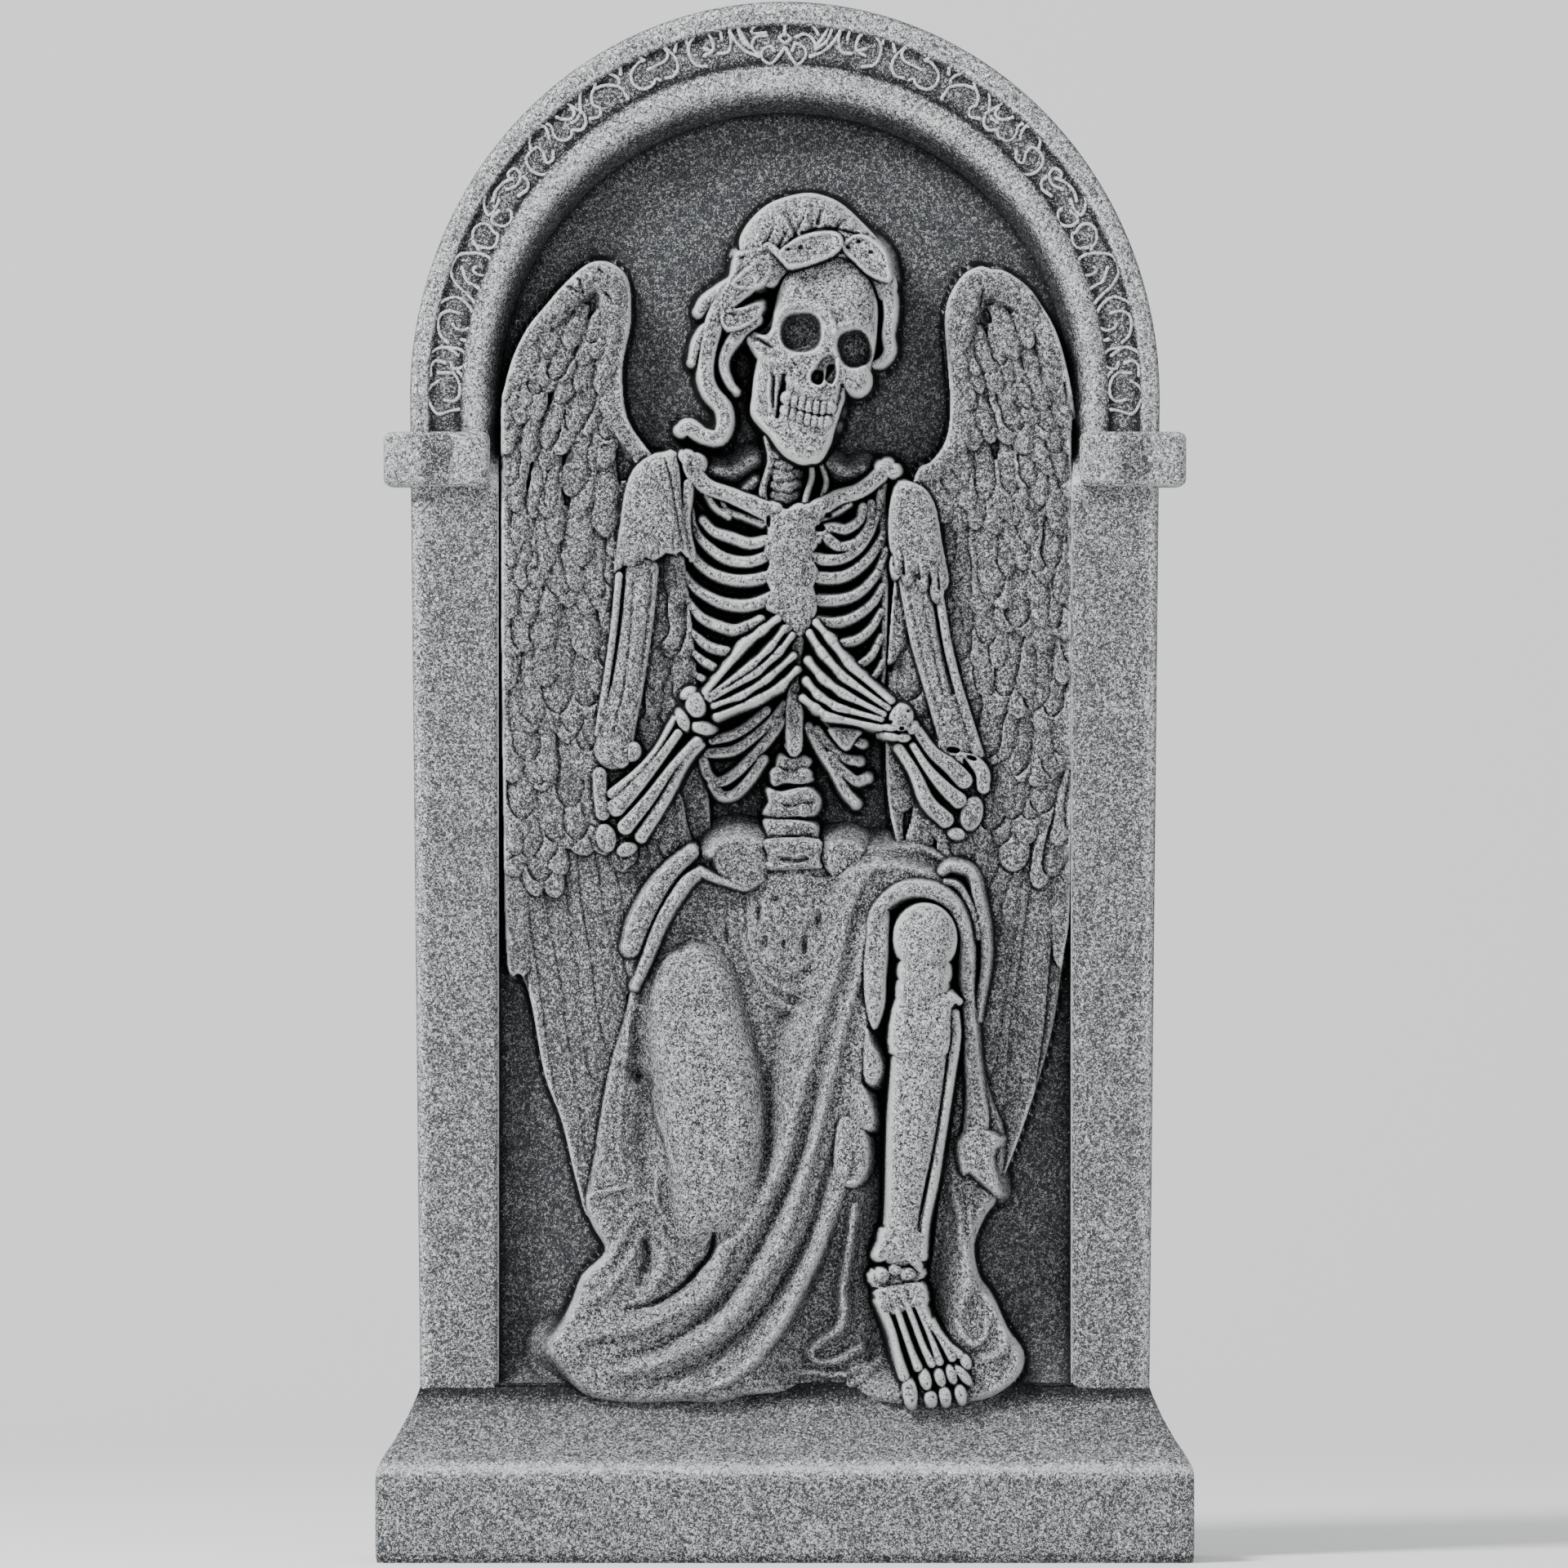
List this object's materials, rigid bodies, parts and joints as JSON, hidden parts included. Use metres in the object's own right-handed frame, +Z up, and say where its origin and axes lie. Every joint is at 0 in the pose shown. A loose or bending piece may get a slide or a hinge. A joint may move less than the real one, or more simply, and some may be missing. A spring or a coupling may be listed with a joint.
{
  "type": "relief tombstone",
  "caption": "Round-arched moulded-foam tombstone with a kneeling winged skeleton in high relief in its niche, on a flared plinth; it stands upright as a garden or stage prop.",
  "frame": {"origin": "on the ground, under the middle of the footprint", "axes": "+Z up to the crown of the arch, -Y out of the carved front, +X to the right as seen from the front"},
  "size_m": [0.4786, 0.13, 0.914],
  "materials": {
    "painted_foam": "moulded rigid foam painted stone grey, with a near-black wash in the hollows and a pale dry brush on what stands proud"
  },
  "bodies": {
    "root": {"tombstone": "painted_foam"}
  },
  "joints": []
}
